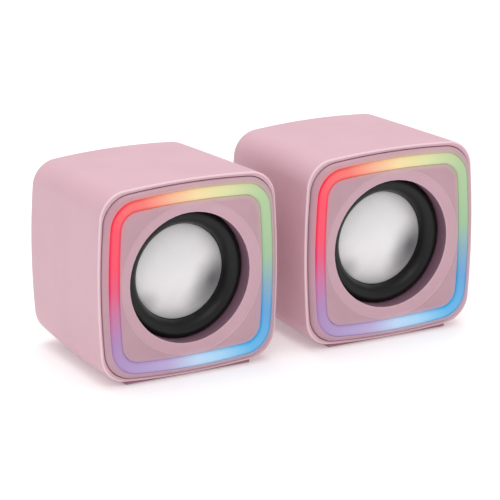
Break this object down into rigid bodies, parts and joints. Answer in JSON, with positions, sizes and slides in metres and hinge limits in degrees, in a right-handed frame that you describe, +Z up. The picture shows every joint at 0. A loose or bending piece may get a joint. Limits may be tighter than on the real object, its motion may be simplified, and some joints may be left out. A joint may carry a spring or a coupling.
{
  "type": "desktop speakers",
  "caption": "Pair of small powered desktop speakers: bowed cube cabinets with a lit ring around a full-range driver, a volume knob and sockets behind.",
  "frame": {"origin": "on the floor, under the middle of the pair's box", "axes": "+Z up, fronts face -Y, the satellite speaker is on -X and the main speaker on +X"},
  "size_m": [0.1708, 0.0722, 0.0797],
  "materials": {
    "cabinet_plastic": "fine matt moulded ABS, pink",
    "front_plastic": "fine matt moulded ABS, mauve pink",
    "rear_plastic": "matt moulded ABS, pink",
    "grip_rubber": "matt",
    "blackened_steel": "blackened",
    "diffuser": "milky satin acrylic",
    "white_board": "white solder mask",
    "led_resin": "clear resin",
    "foam": "closed cell foam",
    "pressed_steel": "zinc plated",
    "surround_rubber": "satin",
    "paper_cone": "coated paper",
    "cap_aluminium": "satin, fine grain",
    "coil_copper": "enamelled wire",
    "spider_cloth": "resin stiffened cloth",
    "plate_steel": "turned",
    "ferrite": "ground ferrite",
    "fibre_board": "pressed fibre",
    "plated_steel": "nickel plated",
    "lead_pvc": "insulation",
    "socket_nylon": "moulded nylon",
    "green_board": "green solder mask",
    "chip_epoxy": "moulded epoxy",
    "sink_aluminium": "extruded",
    "capacitor_can": "sleeved can",
    "button_plastic": "matt moulded ABS"
  },
  "bodies": {
    "main_speaker": {"right_shell": "cabinet_plastic", "right_foot_strips": "cabinet_plastic", "right_grip_pads": "grip_rubber", "right_rear_panel": "rear_plastic", "right_rear_screws": "blackened_steel", "right_front_bezel": "front_plastic", "right_light_ring": "diffuser", "right_led_board": "white_board", "right_leds": "led_resin", "right_baffle": "front_plastic", "right_gasket": "foam", "right_basket": "pressed_steel", "right_surround": "surround_rubber", "right_spider": "spider_cloth", "right_top_plate": "plate_steel", "right_magnet": "ferrite", "right_yoke": "plate_steel", "right_terminal_strip": "fibre_board", "right_driver_screws": "plated_steel", "right_driver_leads": "lead_pvc", "right_link_socket": "socket_nylon", "amp_board": "green_board", "board_screws": "plated_steel", "amp_chip": "chip_epoxy", "heat_sink": "sink_aluminium", "capacitors": "capacitor_can", "potentiometer": "plate_steel", "button_switch": "chip_epoxy", "audio_socket": "socket_nylon", "power_socket": "plated_steel"},
    "satellite_speaker": {"left_shell": "cabinet_plastic", "left_foot_strips": "cabinet_plastic", "left_grip_pads": "grip_rubber", "left_rear_panel": "rear_plastic", "left_rear_screws": "blackened_steel", "left_front_bezel": "front_plastic", "left_light_ring": "diffuser", "left_led_board": "white_board", "left_leds": "led_resin", "left_baffle": "front_plastic", "left_gasket": "foam", "left_basket": "pressed_steel", "left_surround": "surround_rubber", "left_spider": "spider_cloth", "left_top_plate": "plate_steel", "left_magnet": "ferrite", "left_yoke": "plate_steel", "left_terminal_strip": "fibre_board", "left_driver_screws": "plated_steel", "left_driver_leads": "lead_pvc", "left_link_socket": "socket_nylon"},
    "left_cone_assembly": {"left_cone": "paper_cone", "left_dust_cap": "cap_aluminium", "left_voice_coil": "coil_copper"},
    "right_cone_assembly": {"right_cone": "paper_cone", "right_dust_cap": "cap_aluminium", "right_voice_coil": "coil_copper"},
    "volume_control": {"knob_shaft": "plate_steel", "volume_knob": "front_plastic"},
    "light_button": {"light_button": "button_plastic"}
  },
  "joints": [
    {"name": "satellite_slide", "type": "slide", "parent": "main_speaker", "child": "satellite_speaker", "axis": [-1, 0, 0], "range_m": [0, 0.2]},
    {"name": "left_cone_travel", "type": "slide", "parent": "satellite_speaker", "child": "left_cone_assembly", "axis": [0, -1, 0], "range_m": [-0.002, 0.002], "stiffness_N_per_m": 1000, "deforming": ["left_surround", "left_spider"]},
    {"name": "right_cone_travel", "type": "slide", "parent": "main_speaker", "child": "right_cone_assembly", "axis": [0, -1, 0], "range_m": [-0.002, 0.002], "stiffness_N_per_m": 1000, "deforming": ["right_surround", "right_spider"]},
    {"name": "volume_turn", "type": "hinge", "parent": "main_speaker", "child": "volume_control", "pos_m": [0.0458, 0.0299, 0.049], "axis": [0, 1, 0], "range_deg": [-150, 150]},
    {"name": "light_press", "type": "slide", "parent": "main_speaker", "child": "light_button", "axis": [0, -1, 0], "range_m": [0, 0.0008], "stiffness_N_per_m": 1200, "springref_m": -0.0003}
  ]
}
